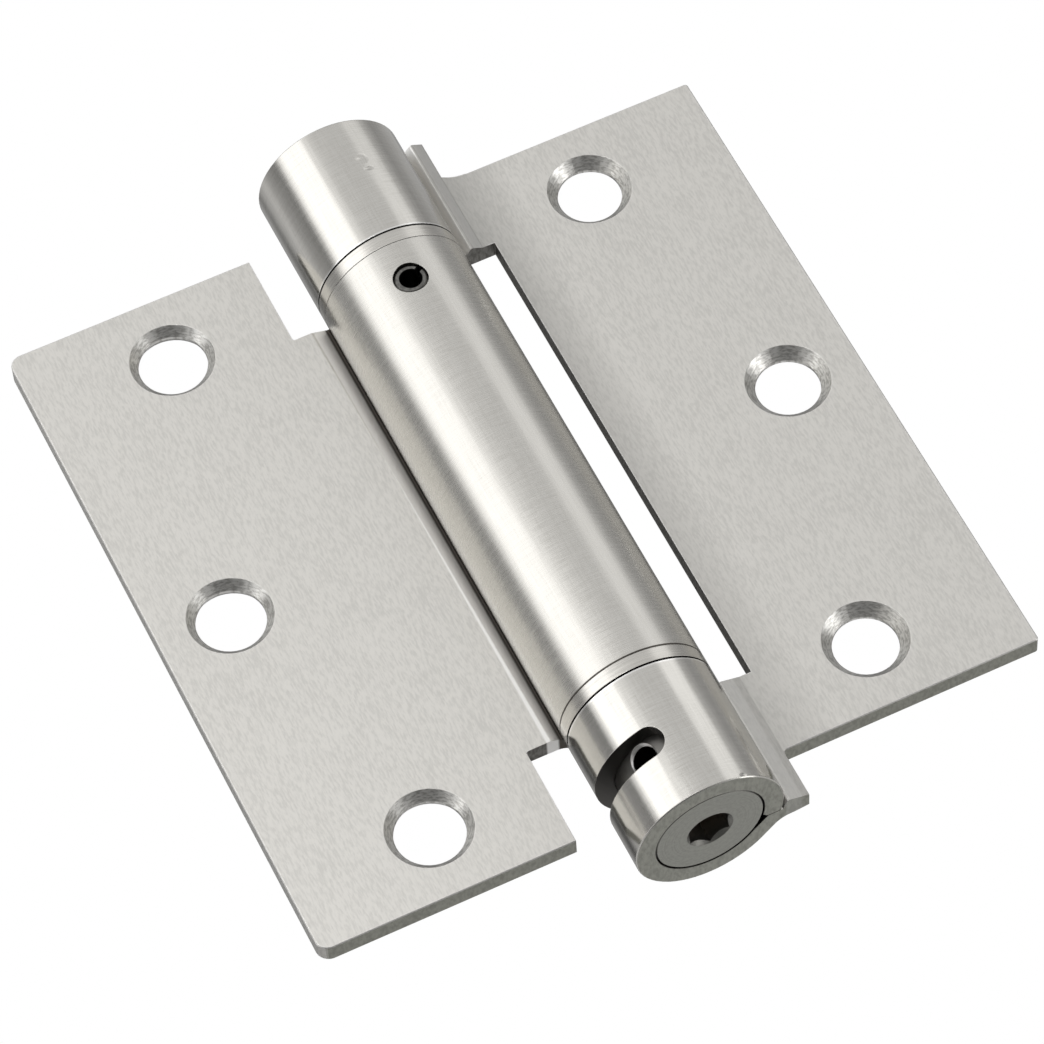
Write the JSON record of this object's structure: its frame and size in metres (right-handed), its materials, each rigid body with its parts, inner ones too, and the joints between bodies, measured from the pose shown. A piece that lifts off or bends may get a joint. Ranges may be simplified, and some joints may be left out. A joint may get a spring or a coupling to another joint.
{
  "type": "spring hinge",
  "caption": "Adjustable spring-loaded butt hinge opened flat: two countersunk steel leaves on a rolled barrel with bearing rings, a hex tension adjuster and a slot for the tension pin",
  "frame": {"origin": "middle of the barrel, on the hinge axis in X and Z and halfway through the depth of the hinge in Y", "axes": "+Z along the hinge axis, away from the hex adjuster; -Y out of the countersunk faces; +X towards the frame leaf, the one with the two end knuckles"},
  "size_m": [0.0888, 0.0182, 0.1016],
  "materials": {
    "leaf_steel": "satin plated, fine grain along the hinge axis",
    "turned_steel": "turned, dull",
    "ring_steel": "satin",
    "pin_steel": "dark oxide",
    "spring_steel": "oiled dark spring wire"
  },
  "bodies": {
    "frame": {"frame_leaf": "leaf_steel"},
    "door": {"door_leaf": "leaf_steel", "pivot_plug": "turned_steel", "roll_pin": "pin_steel", "upper_bearing_ring": "ring_steel", "lower_bearing_ring": "ring_steel", "torsion_spring": "spring_steel"},
    "adjuster": {"tension_adjuster": "turned_steel"}
  },
  "joints": [
    {"name": "leaf_swing", "type": "hinge", "parent": "frame", "child": "door", "pos_m": [0, 0, 0], "axis": [0, 0, 1], "range_deg": [0, 180]},
    {"name": "tension_turn", "type": "hinge", "parent": "door", "child": "adjuster", "pos_m": [0, 0, 0], "axis": [0, 0, 1], "range_deg": [0, 270], "stiffness_Nm_per_rad": 1.75, "deforming": ["torsion_spring"]}
  ]
}
